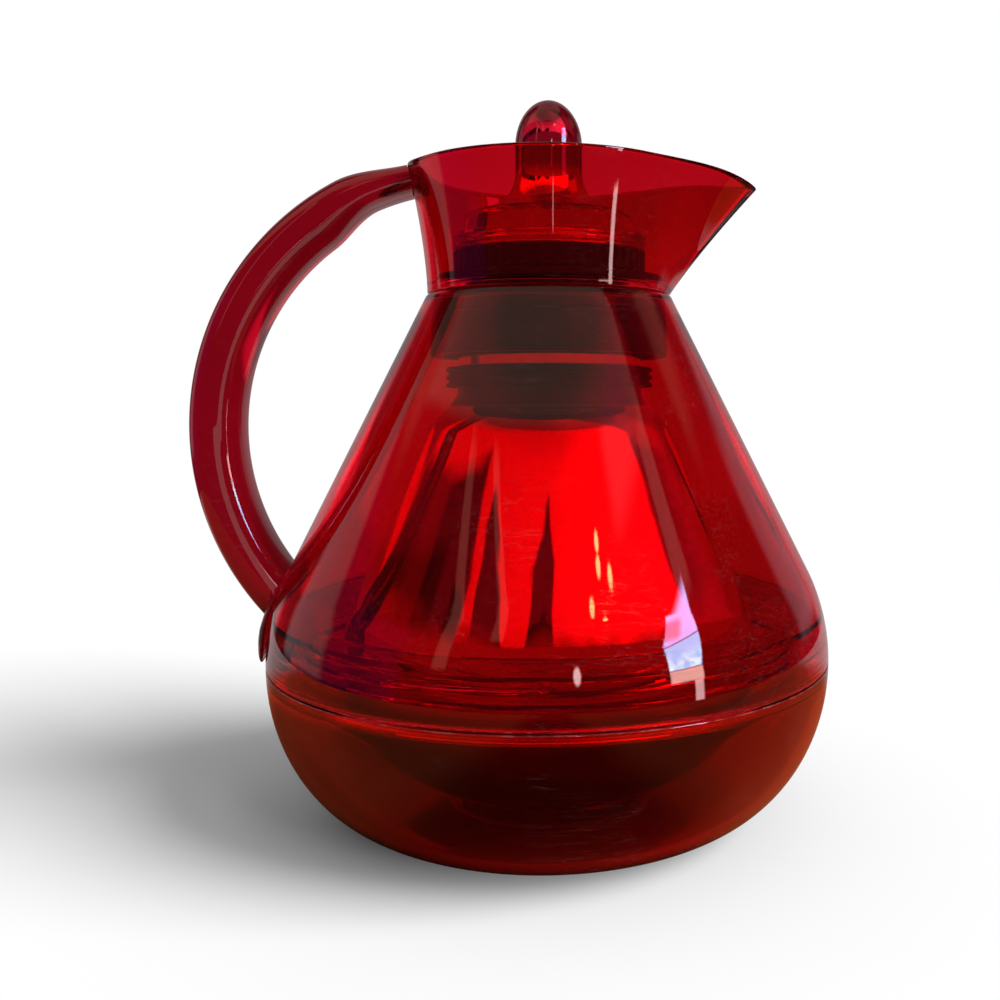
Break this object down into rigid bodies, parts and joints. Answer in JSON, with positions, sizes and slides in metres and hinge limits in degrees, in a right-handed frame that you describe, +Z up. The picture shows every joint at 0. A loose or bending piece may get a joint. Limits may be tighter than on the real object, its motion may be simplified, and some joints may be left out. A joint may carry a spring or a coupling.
{
  "type": "thermal carafe",
  "caption": "Conical thermal carafe with a clear casing and screw-on bowl base around a silvered glass flask, pointed pouring collar, loop handle and plug stopper with a knob.",
  "frame": {"origin": "centre of the flat underside of the bowl, on the carafe's axis", "axes": "+Z up along the axis, +X towards the spout, -X towards the handle"},
  "size_m": [0.1874, 0.165, 0.2093],
  "materials": {
    "clear_red": "clear ruby-red moulded plastic, glossy",
    "deep_red": "clear dark red moulded plastic with fine scratches",
    "black_plastic": "black moulded plastic, satin",
    "black_rubber": "black rubber, dull",
    "silvered_glass": "blown glass silvered on the vacuum side",
    "pale_silicone": "pale translucent sealing ring",
    "pale_foam": "pale insulating foam",
    "grey_pad": "grey mineral-fibre pad"
  },
  "bodies": {
    "jug": {"casing": "clear_red", "pouring_collar": "clear_red", "handle": "clear_red", "neck_nut": "black_plastic", "mouth_gasket": "black_rubber", "stopper_seat": "black_rubber"},
    "flask": {"flask_outer_bulb": "silvered_glass", "flask_inner_bulb": "silvered_glass", "flask_spacer_1": "grey_pad", "flask_spacer_2": "grey_pad", "flask_spacer_3": "grey_pad", "shoulder_ring": "black_rubber", "flask_cup": "black_rubber"},
    "base": {"base_bowl": "deep_red"},
    "seal": {"stopper_seal": "pale_silicone"},
    "stopper": {"stopper_cap": "clear_red", "stopper_disc": "black_plastic", "stopper_plug": "black_plastic", "stopper_insulation": "pale_foam", "stopper_lid": "black_plastic"}
  },
  "joints": [
    {"name": "base_drop", "type": "slide", "parent": "jug", "child": "flask", "axis": [0, 0, -1], "range_m": [0, 0.0093]},
    {"name": "base_turn", "type": "hinge", "parent": "flask", "child": "base", "pos_m": [0, 0, 0], "axis": [0, 0, -1], "range_deg": [0, 1080]},
    {"name": "stopper_lift", "type": "slide", "parent": "jug", "child": "seal", "axis": [0, 0, 1], "range_m": [0, 0.065]},
    {"name": "stopper_turn", "type": "hinge", "parent": "seal", "child": "stopper", "pos_m": [0, 0, 0.16], "axis": [0, 0, 1], "continuous": true}
  ],
  "couplings": [
    {"joint": "base_drop", "follows": "base_turn", "m_per_rad": 0.00049338}
  ]
}
